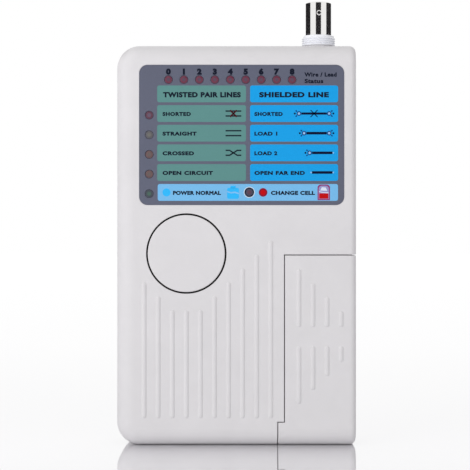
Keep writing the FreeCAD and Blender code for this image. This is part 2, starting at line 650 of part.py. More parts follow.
def battery_snap():
    """Cap that clips over both terminals."""
    (stud_x, y), (socket_x, _) = terminal_places()
    top = CELL_Z[1]
    cap = box((CELL_X[0] + 0.5, CELL_X[1] - 0.5), (y - 6.2, y + 6.2), (top + 0.15, top + 4.2))
    cap = round_edges(cap, 3.0, lambda b: b.ZLength > 3)
    pockets = [rod(3.1, (stud_x, y, top - 1), (stud_x, y, top + 2.6)),
               rod(4.2, (socket_x, y, top - 1), (socket_x, y, top + 2.6))]
    return cap.cut(pockets)


def battery_lead(run_y, corner_x):
    """An insulated wire: out of the snap to the right, round a bend, and forward to the board."""
    z = CELL_Z[1] + 2.2
    start = (CELL_X[1] - 0.5, run_y, z)
    return bent_wire(start, (corner_x, run_y, z), (corner_x, BOARD_REAR, z), 3.5, 0.7)


def battery_door():
    """Door with two hinge pegs at its lower edge, a latch tongue at the top, and grip bars."""
    low = HINGE_Z
    leaf = box(DOOR_X, (INNER_BACK, BACK), (low, DOOR_TOP_Z))
    leaf = round_edges(leaf, 1.5, lambda b: b.YLength > 1 and b.XLength < 1e-4 and near(b.ZMin, DOOR_TOP_Z))
    curl = rod(HINGE_ROUND, (DOOR_X[0], HINGE_Y, HINGE_Z), (DOOR_X[1], HINGE_Y, HINGE_Z))
    curl = curl.common(slab(INNER_BACK, BACK))
    peg_x = (DOOR_X[0] - PEG_REACH, DOOR_X[1] + PEG_REACH)
    pegs = rod(PEG_RADIUS, (peg_x[0], HINGE_Y, HINGE_Z), (peg_x[1], HINGE_Y, HINGE_Z))
    middle = sum(DOOR_X) / 2
    tongue = box((middle - 4, middle + 4), (9.0, INNER_BACK + 0.2), (65.0, 66.2))
    catch = box((middle - 4, middle + 4), (9.4, 10.4), (66.0, 66.45))
    bars = [box((middle - 8, middle + 8), (BACK - 0.2, BACK + RIB_PROUD), (z, z + 1.4))
            for z in (52, 55, 58, 61)]
    bars = [round_edges(bar, 0.35, lambda b: near(b.YMin, BACK + RIB_PROUD)) for bar in bars]
    return join(leaf, curl, pegs, tongue, catch, *bars)


# ---- the four case shells ----
def main_shells():
    outer = soften_split(main_form(0), BAY_GAP / 2)
    nose_ring = rod(NOSE_RING, (COAX_X, COAX_Y, HEIGHT - WALL / 2), (COAX_X, COAX_Y, NOSE_LOW_Z - 0.05))
    front, rear = shells(main_form, outer.fuse(nose_ring))
    ports = main_port_openings()
    nose_hole = rod(NOSE_WAIST + 0.1, (COAX_X, COAX_Y, HEIGHT - WALL - 2.5), (COAX_X, COAX_Y, NOSE_LOW_Z))
    return front_cover(front, ports + [nose_hole]), rear_cover(rear, ports + [nose_hole])


def main_port_openings():
    return [port_opening(MAIN_WIDE_PORT_Z, WIDE_JACK["half"], (0, WIDE_JACK["height"])),
            port_opening(MAIN_NARROW_PORT_Z, NARROW_JACK["half"], (0, NARROW_JACK["height"])),
            port_opening(MAIN_FLAT_PORT_Z, FLAT_SHELL_HALF, FLAT_SHELL_V)]


def front_cover(shell, openings):
    pairs = [front_boss(x, z) for x, z in MAIN_SCREWS]
    pairs += [board_post(x, z) for x, z in MAIN_BOARD_SCREWS]
    guide = rod_y(BUTTON_FLANGE + 1.6, BUTTON_X, BUTTON_Z, INNER_FRONT - 0.3, INNER_FRONT + 2.4)
    bore = rod_y(BUTTON_FLANGE + 0.4, BUTTON_X, BUTTON_Z, INNER_FRONT, INNER_FRONT + 3)
    hole = rod_y(BUTTON_HOLE, BUTTON_X, BUTTON_Z, FRONT - 1, INNER_FRONT + 1)
    recess = plate(LABEL_X, LABEL_Z, LABEL_CORNER, FRONT - 1, FRONT + LABEL_THICKNESS)
    lamp_holes = [rod_y(LAMP_HOLE, x, z, FRONT - 1, INNER_FRONT + 1) for x, z in lamp_places()]
    cuts = [hole, recess, *lamp_holes, *sound_switch_cuts(), *openings]
    return add_and_cut(shell, pairs + [(guide, bore)], cuts).fuse(main_ribs())


def rear_cover(shell, openings):
    wall = COMPARTMENT_WALL
    tray = box((COMPARTMENT_X[0] - wall, COMPARTMENT_X[1] + wall),
               (COMPARTMENT_FLOOR - wall, INNER_BACK + 0.2),
               (COMPARTMENT_Z[0] - 2.0, COMPARTMENT_Z[1] + wall))
    inside = box(COMPARTMENT_X, (COMPARTMENT_FLOOR, BACK + 1), COMPARTMENT_Z)
    ears = [box((x - 0.9, x + 0.9), (11.8, INNER_BACK + 0.2), (9.0, 13.0))
            for x in (DOOR_X[0] - DOOR_GAP - 0.8, DOOR_X[1] + DOOR_GAP + 0.8)]
    door_x = (DOOR_X[0] - DOOR_GAP, DOOR_X[1] + DOOR_GAP)
    door_low = HINGE_Z - HINGE_ROUND - DOOR_GAP
    doorway = plate(door_x, (door_low, DOOR_TOP_Z + DOOR_GAP), 1.6, INNER_BACK, BACK + 1)
    sill = box(door_x, (INNER_BACK, BACK + 1), (door_low, HINGE_Z + 2))
    hinge_swing = rod(HINGE_ROUND + DOOR_GAP, (door_x[0], HINGE_Y, HINGE_Z), (door_x[1], HINGE_Y, HINGE_Z))
    peg_holes = rod(PEG_HOLE, (DOOR_X[0] - PEG_REACH - 0.1, HINGE_Y, HINGE_Z),
                    (DOOR_X[1] + PEG_REACH + 0.1, HINGE_Y, HINGE_Z))
    lead_notch = box((COMPARTMENT_X[1] - 1, COMPARTMENT_X[1] + wall + 1), (1.5, 11.0),
                     (CELL_Z[1] + 1.0, CELL_Z[1] + 3.4))
    thumb_dish = Part.makeSphere(12.0, V(sum(DOOR_X) / 2, BACK + 10.7, DOOR_TOP_Z + 1.0))
    sound_holes = [rod_y(0.8, x, z, INNER_BACK - 1, BACK + 1)
                   for x, z in [(BUZZER_X, BUZZER_Z), *six_round(BUZZER_X, BUZZER_Z, 3.2)]]
    rail_block = box((BAY_LEFT - 1.5, RIGHT - 1.0), (RAIL_CENTRE_Y - 5.6, RAIL_CENTRE_Y + 5.6),
                     (BAY_TOP + 0.6, BAY_TOP + 5.8))
    pairs = [rear_boss(x, z) for x, z in MAIN_SCREWS] + [(tray, inside), (rail_block, rail_slot())]
    shell = shell.fuse(ears)
    cuts = [doorway, sill, hinge_swing, peg_holes, lead_notch, thumb_dish, *sound_holes, *openings]
    return add_and_cut(shell, pairs, cuts)


def rail_slot():
    """T-shaped slot over the bay, open at the right side of the case."""
    c = RAIL_CLEARANCE
    x = (BAY_LEFT + 0.4, RIGHT + 5)
    neck = box(x, (RAIL_CENTRE_Y - RAIL_NECK / 2 - c, RAIL_CENTRE_Y + RAIL_NECK / 2 + c),
               (BAY_TOP - 1, BAY_TOP + 2.0))
    head = box(x, (RAIL_CENTRE_Y - RAIL_HEAD / 2 - c, RAIL_CENTRE_Y + RAIL_HEAD / 2 + c),
               (BAY_TOP + 1.9, BAY_TOP + 4.1))
    return join(neck, head)


def rail():
    """T-shaped rail on the remote unit's top, one clearance inside the slot."""
    c = RAIL_CLEARANCE
    x = (BAY_LEFT + 1.9, RIGHT - 0.2)
    neck = box(x, (RAIL_CENTRE_Y - RAIL_NECK / 2, RAIL_CENTRE_Y + RAIL_NECK / 2),
               (BAY_TOP - 0.6, BAY_TOP + 2.2))
    head = box(x, (RAIL_CENTRE_Y - RAIL_HEAD / 2, RAIL_CENTRE_Y + RAIL_HEAD / 2),
               (BAY_TOP + 1.9 + c, BAY_TOP + 4.1 - c))
    return join(neck, head)


def remote_shells():
    outer = soften_split(remote_form(0), -BAY_GAP / 2)
    front, rear = shells(remote_form, outer)
    openings = [port_opening(REMOTE_WIDE_PORT_Z, WIDE_JACK["half"], (0, WIDE_JACK["height"])),
                port_opening(REMOTE_NARROW_PORT_Z, NARROW_JACK["half"], (0, NARROW_JACK["height"])),
                port_opening(REMOTE_SQUARE_PORT_Z, SQUARE_SHELL_HALF, SQUARE_SHELL_V)]
    front_pairs = [front_boss(x, z) for x, z in REMOTE_SCREWS]
    front_pairs += [board_post(x, z) for x, z in REMOTE_BOARD_SCREWS]
    front = add_and_cut(front, front_pairs, openings).fuse(remote_ribs())
    rear = add_and_cut(rear, [rear_boss(x, z) for x, z in REMOTE_SCREWS], openings)
    return front, rear.fuse(rail())


def label_overlay():
    film = plate((LABEL_X[0] + 0.1, LABEL_X[1] - 0.1), (LABEL_Z[0] + 0.1, LABEL_Z[1] - 0.1),
                 LABEL_CORNER - 0.1, FRONT + 0.02, FRONT + LABEL_THICKNESS)
    return film.cut([rod_y(LAMP_HOLE, x, z, FRONT - 1, INNER_FRONT) for x, z in lamp_places()])


def nodes():
    """Every sub-part by name."""
    made = {}
    made["front_cover"], made["rear_cover"] = main_shells()
    made["remote_front_cover"], made["remote_rear_cover"] = remote_shells()
    made["label_overlay"] = label_overlay()
    made["battery_door"] = battery_door()
    made["case_screws"] = case_screws(MAIN_SCREWS)
    made["remote_case_screws"] = case_screws(REMOTE_SCREWS)

    made["test_button"] = test_button()
    made["test_switch_body"] = test_switch_body()
    made["test_switch_plunger"] = test_switch_plunger()
    made["sound_switch_body"] = sound_switch_body()
    made["sound_switch_knob"] = sound_switch_knob()

    results = result_lamp_places()
    made["wire_lamps"] = lamps(wire_lamp_places())
    made["short_lamp"] = lamps(results[:1])
    made["connected_lamp"] = lamps(results[1:2])
    made["wiring_fault_lamps"] = lamps(results[2:4])
    made["power_lamp"] = lamps(results[4:])
    made["battery_lamp"] = lamps([BATTERY_LAMP])
    made["lamp_leads"] = lamp_leads()

    made["coax_body"] = coax_body()
    made["coax_barrel"] = coax_barrel()
    made["coax_insulator"] = coax_insulator()
    made["coax_centre_contact"] = coax_centre_contact()

    for owner, wide_z, narrow_z in (("main", MAIN_WIDE_PORT_Z, MAIN_NARROW_PORT_Z),
                                    ("remote", REMOTE_WIDE_PORT_Z, REMOTE_NARROW_PORT_Z)):
        made[f"{owner}_data_jack_housing"] = jack_housing(wide_z, WIDE_JACK, True)
        made[f"{owner}_data_jack_contacts"] = jack_contacts(wide_z, WIDE_JACK)
        made[f"{owner}_data_jack_shield"] = jack_shield(wide_z, WIDE_JACK)
        made[f"{owner}_phone_jack_housing"] = jack_housing(narrow_z, NARROW_JACK, False)
        made[f"{owner}_phone_jack_contacts"] = jack_contacts(narrow_z, NARROW_JACK)
    ports = {"main": flat_port(MAIN_FLAT_PORT_Z), "remote": square_port(REMOTE_SQUARE_PORT_Z)}
    for owner, pieces in ports.items():
        for piece, shape in zip(("shell", "tongue", "contacts"), pieces):
            made[f"{owner}_bus_port_{piece}"] = shape

    made["main_board"] = main_board()
    made["remote_board"] = remote_board()
    made["main_board_screws"] = board_screws(MAIN_BOARD_SCREWS)
    made["remote_board_screws"] = board_screws(REMOTE_BOARD_SCREWS)
    made["board_chips"] = chips()
    made["board_resistors"] = upright_parts(-30.0, 4.0, 87.0, 7, 6.3, 1.15)
    made["board_capacitors"] = capacitors()
    made["board_crystal"] = crystal()
    made["buzzer"] = buzzer()
    made["remote_diodes"] = upright_parts(22.4, 2.6, 34.8, 2, 4.2, 0.95)

    made["battery_case"] = battery_case()
    made["battery_terminals"] = battery_terminals()
    made["battery_snap"] = battery_snap()
    made["battery_lead_red"] = battery_lead(3.0, -5.0)
    made["battery_lead_black"] = battery_lead(6.5, -1.0)
    return made


def main():
    os.makedirs("parts", exist_ok=True)
    for name, shape in nodes().items():
        solids = shape.Solids
        whole = solids[0] if len(solids) == 1 else Part.makeCompound(solids)
        whole.exportStep(os.path.join("parts", name + ".step"))
        print(f"{name:28s} {len(solids):3d} solids  valid {whole.isValid()}  {whole.Volume:10.1f} mm3")


main()
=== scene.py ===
"""Looks of the handheld network cable tester: materials, printed panel, lamps and small marks.

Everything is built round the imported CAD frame, in metres. Sizes are given in millimetres through MM, and
places are worked out from the boxes of the CAD nodes.
"""

import math

import bmesh
import bpy
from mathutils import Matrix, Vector


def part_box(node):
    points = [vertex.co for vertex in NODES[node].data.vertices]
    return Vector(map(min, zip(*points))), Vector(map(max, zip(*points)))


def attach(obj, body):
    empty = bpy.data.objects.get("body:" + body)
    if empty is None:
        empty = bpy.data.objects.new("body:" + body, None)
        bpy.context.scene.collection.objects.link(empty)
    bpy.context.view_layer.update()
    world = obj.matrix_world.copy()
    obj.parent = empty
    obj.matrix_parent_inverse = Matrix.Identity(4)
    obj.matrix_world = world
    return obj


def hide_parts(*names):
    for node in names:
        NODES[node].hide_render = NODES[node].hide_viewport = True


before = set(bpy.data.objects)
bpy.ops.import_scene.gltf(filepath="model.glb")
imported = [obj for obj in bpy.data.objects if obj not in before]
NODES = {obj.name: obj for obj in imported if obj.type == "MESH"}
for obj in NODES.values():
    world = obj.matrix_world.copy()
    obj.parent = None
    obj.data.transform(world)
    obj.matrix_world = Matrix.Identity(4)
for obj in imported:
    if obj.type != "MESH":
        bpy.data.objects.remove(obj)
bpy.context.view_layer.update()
MM = 0.001


# ---- colours ----
def srgb(red, green, blue):
    """A display colour of 0 to 255 as linear light."""
    def linear(value):
        value /= 255
        return value / 12.92 if value <= 0.04045 else ((value + 0.055) / 1.055) ** 2.4
    return linear(red), linear(green), linear(blue), 1.0


def shade(colour, factor):
    """The same colour, darker or lighter."""
    return tuple(min(1.0, c * factor) for c in colour[:3]) + (1.0,)


# ---- node materials ----
class Shader:
    """One node material, with short calls that add a node and give back its output."""

    def __init__(self, name, **sockets):
        self.material = bpy.data.materials.new(name)
        self.material.use_nodes = True
        self.tree = self.material.node_tree
        self.bsdf = self.tree.nodes["Principled BSDF"]
        for socket, value in sockets.items():
            self.bsdf.inputs[socket.replace("_", " ")].default_value = value
        self.place = self.add("ShaderNodeTexCoord").outputs["Object"]

    def add(self, kind, **inputs):
        node = self.tree.nodes.new(kind)
        for name, value in inputs.items():
            self.feed(node.inputs[name.replace("_", " ")], value)
        return node

    def feed(self, socket, value):
        if isinstance(value, bpy.types.NodeSocket):
            self.tree.links.new(value, socket)
        else:
            socket.default_value = value

    def set(self, socket, value):
        self.feed(self.bsdf.inputs[socket], value)

    def stretched(self, x, y, z):
        """Object coordinates scaled per axis, to draw a texture out along an axis."""
        return self.add("ShaderNodeMapping", Vector=self.place, Scale=(x, y, z)).outputs[0]

    def noise(self, size_mm, detail=2.0, place=None, distortion=0.0, roughness=0.5):
        """Noise whose blobs are about size_mm across."""
        node = self.add("ShaderNodeTexNoise", Vector=place or self.place, Scale=1 / (size_mm * MM),
                        Detail=detail, Distortion=distortion, Roughness=roughness)
        return node.outputs[0]

    def cell_edges(self, size_mm, place):
        """Distance to the nearest edge between cells about size_mm across."""
        node = self.add("ShaderNodeTexVoronoi", Vector=place, Scale=1 / (size_mm * MM))
        node.feature = "DISTANCE_TO_EDGE"
        return node.outputs["Distance"]

    def span(self, value, low, high, start=0.0, end=1.0):
        """Maps start..end of a value to low..high, clamped."""
        ends = {"From_Min": start, "From_Max": end, "To_Min": low, "To_Max": high}
        return self.add("ShaderNodeMapRange", Value=value, **ends).outputs[0]

    def math(self, operation, a, b=0.0):
        node = self.tree.nodes.new("ShaderNodeMath")
        node.operation = operation
        self.feed(node.inputs[0], a)
        self.feed(node.inputs[1], b)
        return node.outputs[0]

    def mix(self, factor, low, high):
        """Colour low at factor 0, high at factor 1."""
        node = self.tree.nodes.new("ShaderNodeMix")
        node.data_type = "RGBA"
        self.feed(node.inputs["Factor"], factor)
        self.feed(node.inputs["A"], low)
        self.feed(node.inputs["B"], high)
        return node.outputs["Result"]

    def ramp(self, factor, stops, smooth=True):
        """Colours by (position, colour) stops, blended or in steps."""
        node = self.add("ShaderNodeValToRGB", Fac=factor)
        ramp = node.color_ramp
        ramp.interpolation = "EASE" if smooth else "CONSTANT"
        while len(ramp.elements) < len(stops):
            ramp.elements.new(1.0)
        for element, (position, colour) in zip(ramp.elements, stops):
            element.position, element.color = position, colour
        return node.outputs[0]

    def axis(self, letter):
        return self.add("ShaderNodeSeparateXYZ", Vector=self.place).outputs[letter]

    def bump(self, height, depth_mm, after=None):
        """Relief of a depth, on top of an earlier one when after is given."""
        node = self.add("ShaderNodeBump", Height=height, Distance=depth_mm * MM, Strength=1.0)
        if after is not None:
            self.feed(node.inputs["Normal"], after)
        self.set("Normal", node.outputs[0])
        return node.outputs[0]


def flow_clouds(s, colour, strength):
    """Faint clouds where the plastic flowed in the mould."""
    clouds = s.span(s.noise(11.0, detail=3.0, distortion=0.6), 0, 1, 0.3, 0.7)
    return s.mix(clouds, shade(colour, 1 - strength), shade(colour, 1 + strength))


def moulded_plastic(name, colour):
    """Injection-moulded plastic: spark-eroded skin, faint flow clouds, uneven gloss, slight sink."""
    s = Shader(name, IOR=1.5)
    s.set("Base Color", flow_clouds(s, colour, 0.018))
    s.set("Roughness", s.span(s.noise(2.5, detail=4.0), 0.41, 0.52, 0.3, 0.7))
    skin = s.bump(s.noise(0.16, detail=2.0, roughness=0.7), 0.004)
    s.bump(s.noise(24.0, detail=1.0), 0.02, after=skin)
    return s.material


def button_plastic(colour, axis, gap_shade_radius):
    """The cap is plastic like the case; past a radius its flange, seen in the gap round the cap, is painted
    near black as painted shade of the deep gap.
    """
    s = Shader("button_plastic", IOR=1.5)
    apart = s.add("ShaderNodeSeparateXYZ", Vector=s.place)
    across = s.math("SUBTRACT", apart.outputs["X"], axis[0])
    up = s.math("SUBTRACT", apart.outputs["Z"], axis[1])
    radius = s.math("SQRT", s.math("ADD", s.math("MULTIPLY", across, across), s.math("MULTIPLY", up, up)))
    # painted shade: past this radius the flange in the gap round the cap is near black
    gap_shade = s.math("GREATER_THAN", radius, gap_shade_radius)
    s.set("Base Color", s.mix(gap_shade, flow_clouds(s, colour, 0.015), srgb(16, 12, 12)))
    s.set("Roughness", s.mix(gap_shade, (0.40, 0.40, 0.40, 1), (0.7, 0.7, 0.7, 1)))
    s.bump(s.noise(0.22, detail=2.0, roughness=0.7), 0.002)
    return s.material


def printed_film(name, colour):
    """Slate film: satin face with a fine prismatic texture and a little unevenness in the ink."""
    s = Shader(name, IOR=1.58, Coat_Weight=0.25, Coat_Roughness=0.32)
    speckle = s.noise(0.35, detail=4.0, roughness=0.75)
    drift = s.noise(17.0, detail=2.0)
    tone = s.mix(s.span(speckle, 0, 1, 0.25, 0.75), shade(colour, 0.90), shade(colour, 1.10))
    s.set("Base Color", s.mix(s.span(drift, 0, 1, 0.3, 0.7), tone, shade(colour, 1.06)))
    s.set("Roughness", s.span(speckle, 0.40, 0.52))
    s.bump(s.noise(0.12, detail=1.0), 0.003)
    return s.material


def ink(name, colour, mottle=0.06):
    """Screen-printed ink: slightly mottled, with a fine screen texture and little sheen."""
    s = Shader(name, IOR=1.45, Specular_IOR_Level=0.15)
    speckle = s.noise(0.30, detail=4.0, roughness=0.8)
    spots = s.span(speckle, 0, 1, 0.25, 0.75)
    s.set("Base Color", s.mix(spots, shade(colour, 1 - mottle), shade(colour, 1 + mottle)))
    s.set("Roughness", s.span(speckle, 0.45, 0.56))
    s.bump(s.noise(0.15, detail=1.0), 0.002)
    return s.material


def lamp_lens(name, shaded_rim, ring, heart):
    """Tinted epoxy lens seen end on, with light and shade in the dome painted in by distance from the axis:
    painted shade at the rim, a painted lit ring and a duller heart.
    """
    s = Shader(name, IOR=1.5, Roughness=0.3, Coat_Weight=0.1, Coat_Roughness=0.1)
    apart = s.add("ShaderNodeSeparateXYZ", Vector=s.place)
    flat = s.add("ShaderNodeCombineXYZ", X=apart.outputs["X"], Y=apart.outputs["Z"])
    length = s.tree.nodes.new("ShaderNodeVectorMath")
    length.operation = "LENGTH"
    s.feed(length.inputs[0], flat.outputs[0])
    radius = s.span(length.outputs["Value"], 0, 1, 0, LENS_RADIUS)
    cloudy = s.math("ADD", radius, s.span(s.noise(0.5, detail=3.0), -0.05, 0.05))
    # painted light and shade: shaded rim, lit ring and duller heart over the lens's own tint
    stops = [(0.0, heart), (0.34, heart), (0.56, ring), (0.74, ring), (0.93, shaded_rim)]
    s.set("Base Color", s.ramp(cloudy, stops))
    s.bump(s.noise(0.9, detail=2.0), 0.01)
    return s.material


def plated_metal(name, colour, roughness, on_lathe=False, grain_mm=0.5):
    """Plated metal with fine marks: rings about Z when it was turned on a lathe, else lines along Z."""
    s = Shader(name, Metallic=1.0)
    lines = s.stretched(0.02, 0.02, 1.0) if on_lathe else s.stretched(1.0, 1.0, 0.04)
    marks = s.noise(grain_mm, detail=3.0, place=lines, roughness=0.6)
    s.set("Base Color", s.mix(s.noise(3.0, detail=3.0), shade(colour, 0.94), shade(colour, 1.04)))
    s.set("Roughness", s.span(marks, roughness * 0.8, roughness * 1.25))
    s.bump(marks, 0.0012)
    return s.material


def soft_vinyl(name, colour):
    """Soft insulation with paler scuffs."""
    s = Shader(name, IOR=1.5, Sheen_Weight=0.15, Sheen_Roughness=0.4)
    scuffs = s.noise(0.8, detail=5.0, roughness=0.7)
    s.set("Base Color", s.mix(s.span(scuffs, 0, 1, 0.4, 0.8), colour, shade(colour, 1.5)))
    s.set("Roughness", s.span(scuffs, 0.42, 0.62))
    s.bump(s.noise(0.3, detail=3.0), 0.008)
    return s.material


def glossy_plastic(name, colour, roughness, depth=0.0):
    """Smooth engineering plastic; depth lets light a little way into pale ones."""
    s = Shader(name, IOR=1.52, Subsurface_Weight=depth, Subsurface_Scale=0.6 * MM)
    waves = s.noise(4.0, detail=3.0)
    s.set("Base Color", s.mix(waves, shade(colour, 0.96), shade(colour, 1.03)))
    s.set("Roughness", s.span(s.noise(0.7, detail=4.0), roughness - 0.05, roughness + 0.08))
    s.bump(s.noise(0.35, detail=2.0), 0.003)
    return s.material


def board_laminate():
    """Glass-epoxy board: woven glass under green mask, with copper tracks showing as paler lines."""
    s = Shader("board_laminate", IOR=1.5, Coat_Weight=0.4, Coat_Roughness=0.15)
    warp, weft = (s.noise(0.5, place=s.stretched(*scale)) for scale in ((1, 1, 0.15), (0.15, 1, 1)))
    weave = s.math("MULTIPLY", warp, weft)
    tracks = s.span(s.cell_edges(2.4, s.stretched(1, 0, 1)), 1, 0, 0.06, 0.11)
    mask = s.mix(s.span(weave, 0, 1, 0.15, 0.4), srgb(10, 74, 38), srgb(20, 96, 52))
    s.set("Base Color", s.mix(tracks, mask, srgb(60, 132, 72)))
    s.set("Roughness", s.span(weave, 0.28, 0.42))
    s.bump(tracks, 0.03)
    return s.material


def chip_epoxy():
    """Gritty black moulding compound."""
    s = Shader("chip_epoxy", IOR=1.5)
    grit = s.noise(0.12, detail=4.0, roughness=0.8)
    s.set("Base Color", s.mix(grit, srgb(20, 20, 22), srgb(44, 44, 47)))
    s.set("Roughness", s.span(grit, 0.5, 0.75))
    s.bump(grit, 0.01)
    return s.material


def banded_body(name, base, bands, low, high):
    """A lacquered body with colour bands across Z, between heights low and high."""
    s = Shader(name, IOR=1.5, Coat_Weight=0.3, Coat_Roughness=0.2)
    height = s.span(s.axis("Z"), 0, 1, low, high)
    stops = [(0.0, base)]
    for start, colour in bands:
        stops += [(start, colour), (start + 0.06, base)]
    s.set("Base Color", s.ramp(height, stops, smooth=False))
    s.set("Roughness", s.span(s.noise(0.4, detail=3.0), 0.3, 0.45))
    s.bump(s.noise(0.6, detail=2.0), 0.01)
    return s.material


def capacitor_sleeve(top_y):
    """Dark sleeve with a pale stripe; the can's end is bare aluminium."""
    s = Shader("capacitor_sleeve", Roughness=0.3)
    end = s.math("GREATER_THAN", s.axis("Y"), top_y)
    stripe = s.span(s.noise(5.0, detail=0.0, place=s.stretched(1, 0, 0)), 0, 1, 0.52, 0.54)
    s.set("Base Color", s.mix(end, s.mix(stripe, srgb(20, 24, 60), srgb(150, 155, 175)), srgb(190, 190, 190)))
    s.set("Metallic", end)
    s.bump(s.noise(0.5, detail=2.0), 0.006)
    return s.material


def cell_jacket(low, high):
    """Battery jacket: dark body with a warm metallic band at the top and a thin pale line below it."""
    s = Shader("cell_jacket", IOR=1.5, Coat_Weight=0.5, Coat_Roughness=0.12)
    height = s.span(s.axis("Z"), 0, 1, low, high)
    dark, line, warm = srgb(30, 34, 40), srgb(206, 208, 210), srgb(190, 132, 62)
    line_low, line_high = 0.70, 0.715
    s.set("Base Color", s.ramp(height, [(0.0, dark), (line_low, line), (line_high, warm)], smooth=False))
    s.set("Metallic", s.span(s.math("GREATER_THAN", height, line_high), 0.15, 0.85))
    s.set("Roughness", s.span(s.noise(1.2, detail=4.0), 0.22, 0.36))
    s.bump(s.noise(3.0, detail=3.0), 0.015)
    return s.material


# ---- flat printed and turned shapes ----
CAP_HEIGHT = 0.729  # height of a capital in the built-in font at size 1
BOLD = 0.06  # how far the outline of printed letters is grown at that size
SMALL_BOLD, NUMBER_BOLD = 0.045, 0.08
PLATE_BODY, PLATE_SLOT = "main_unit", "overlay_film"
CIRCLE_SIDES, DISC_SIDES, TURNED_SIDES, CORNER_STEPS = 40, 32, 48, 6


class Plate:
    """Collects flat closed shapes in XZ, each with a little thickness, as one piece facing -Y."""

    def __init__(self, front_y, thickness):
        self.mesh = bmesh.new()
        self.front, self.back = front_y, front_y + thickness

    def shape(self, outline):
        """A flat closed shape with its edge wall."""
        rings = [[self.mesh.verts.new((x, y, z)) for x, z in outline] for y in (self.front, self.back)]
        self.mesh.faces.new(rings[0])
        self.mesh.faces.new(rings[1][::-1])
        self.wall(rings[0], rings[1])

    def wall(self, front, back):
        for i, vertex in enumerate(front):
            j = (i + 1) % len(front)
            self.mesh.faces.new((front[j], vertex, back[i], back[j]))

    def ring(self, x, z, inner, outer, sides=CIRCLE_SIDES):
        """A flat ring between two radii."""
        loops = []
        for radius in (inner, outer):
            circle = arc(x, z, radius, 0, 360, sides)[:-1]
            sheets = [[(px, y, pz) for px, pz in circle] for y in (self.front, self.back)]
            loops.append([[self.mesh.verts.new(point) for point in sheet] for sheet in sheets])
        (in_front, in_back), (out_front, out_back) = loops
        self.wall(out_front, out_back)
        self.wall(in_back, in_front)
        self.wall(in_front, out_front)
        self.wall(out_back, in_back)

    def box(self, x, z, corner=0.0):
        square = [(x[0], z[0]), (x[1], z[0]), (x[1], z[1]), (x[0], z[1])]
        self.shape(rounded(x, z, corner) if corner else square)

    def disc(self, x, z, radius):
        self.shape(arc(x, z, radius, 0, 360, DISC_SIDES)[:-1])

    def stroke(self, points, width):
        """A line of even width through points, with mitred corners."""
        left, right = [], []
        for i, point in enumerate(points):
            before = Vector(points[max(i - 1, 0)])
            after = Vector(points[min(i + 1, len(points) - 1)])
            here = Vector(point)
            into = (here - before).normalized() if i else (after - here).normalized()
            out = (after - here).normalized() if i < len(points) - 1 else into
            way = (into + out).normalized()
            side = Vector((-way.y, way.x)) * (width / 2) / max(way.dot(into), 0.5)
            left.append(tuple(here + side))
            right.append(tuple(here - side))
        self.shape(right + left[::-1])

    def letters(self, text, x, z, weight=BOLD, spacing=1.0, stretch=1.0):
        """Text between two heights: fitted between two x limits, or centred on one x."""
        curve = bpy.data.curves.new("letters", "FONT")
        curve.body, curve.size, curve.space_character, curve.resolution_u = text, 1.0, spacing, 5
        curve.bevel_depth, curve.bevel_resolution = weight, 0
        helper = bpy.data.objects.new("letters", curve)
        bpy.context.scene.collection.objects.link(helper)
        graph = bpy.context.evaluated_depsgraph_get()
        solid = bpy.data.meshes.new_from_object(helper.evaluated_get(graph))
        low_x, high_x = (pick(v.co.x for v in solid.vertices) for pick in (min, max))
        height = (z[1] - z[0]) / (CAP_HEIGHT + 2 * weight)
        width = (x[1] - x[0]) / (high_x - low_x) if isinstance(x, tuple) else height * stretch
        start = x[0] if isinstance(x, tuple) else x - (high_x - low_x) * width / 2
        depth = (self.back - self.front) / (2 * weight)
        for vertex in solid.vertices:
            across, up, out = vertex.co.x - low_x, vertex.co.y + weight, weight - vertex.co.z
            vertex.co = (start + across * width, self.front + out * depth, z[0] + up * height)
        self.mesh.from_mesh(solid)
        bpy.data.objects.remove(helper)
        bpy.data.curves.remove(curve)
        bpy.data.meshes.remove(solid)

    def piece(self, name, material):
        """Closes the plate as one piece of the printed panel."""
        bmesh.ops.remove_doubles(self.mesh, verts=self.mesh.verts, dist=1e-7)
        bmesh.ops.recalc_face_normals(self.mesh, faces=self.mesh.faces)
        place_mesh(name, self.mesh, material, PLATE_BODY)


def place_mesh(name, mesh, material, body, at=(0, 0, 0), smooth=False):
    """A mesh as one piece that rides on a body."""
    data = bpy.data.meshes.new(name)
    mesh.to_mesh(data)
    mesh.free()
    data.materials.append(material)
    for polygon in data.polygons:
        polygon.use_smooth = smooth
    piece = bpy.data.objects.new(name, data)
    piece.location = at
    bpy.context.scene.collection.objects.link(piece)
    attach(piece, body)
    return piece


def arc(x, z, radius, start, end, steps):
    """Points on a circle from start to end degrees."""
    turns = [math.radians(start + (end - start) * i / steps) for i in range(steps + 1)]
    return [(x + radius * math.cos(t), z + radius * math.sin(t)) for t in turns]


def rounded(x, z, corner):
    """Outline of a rectangle with round corners."""
    centres = ((x[1] - corner, z[1] - corner, 0), (x[0] + corner, z[1] - corner, 90),
               (x[0] + corner, z[0] + corner, 180), (x[1] - corner, z[0] + corner, 270))
    return [point for cx, cz, start in centres
            for point in arc(cx, cz, corner, start, start + 90, CORNER_STEPS)]


def turned(outline):
    """A piece of revolution about the Y axis from (radius, y) points, closed at the ends on the axis."""
    mesh = bmesh.new()
    rings = []
    for radius, y in outline:
        if radius < 1e-9:
            rings.append([mesh.verts.new((0, y, 0))])
        else:
            circle = arc(0, 0, radius, 0, 360, TURNED_SIDES)[:-1]
            rings.append([mesh.verts.new((x, y, z)) for x, z in circle])
    for a, b in zip(rings, rings[1:]):
        for i in range(TURNED_SIDES):
            j = (i + 1) % TURNED_SIDES
            corners = [a[i % len(a)], a[j % len(a)], b[j % len(b)], b[i % len(b)]]
            unique = list(dict.fromkeys(corners))
            if len(unique) > 2:
                mesh.faces.new(unique)
    bmesh.ops.recalc_face_normals(mesh, faces=mesh.faces)
    return mesh


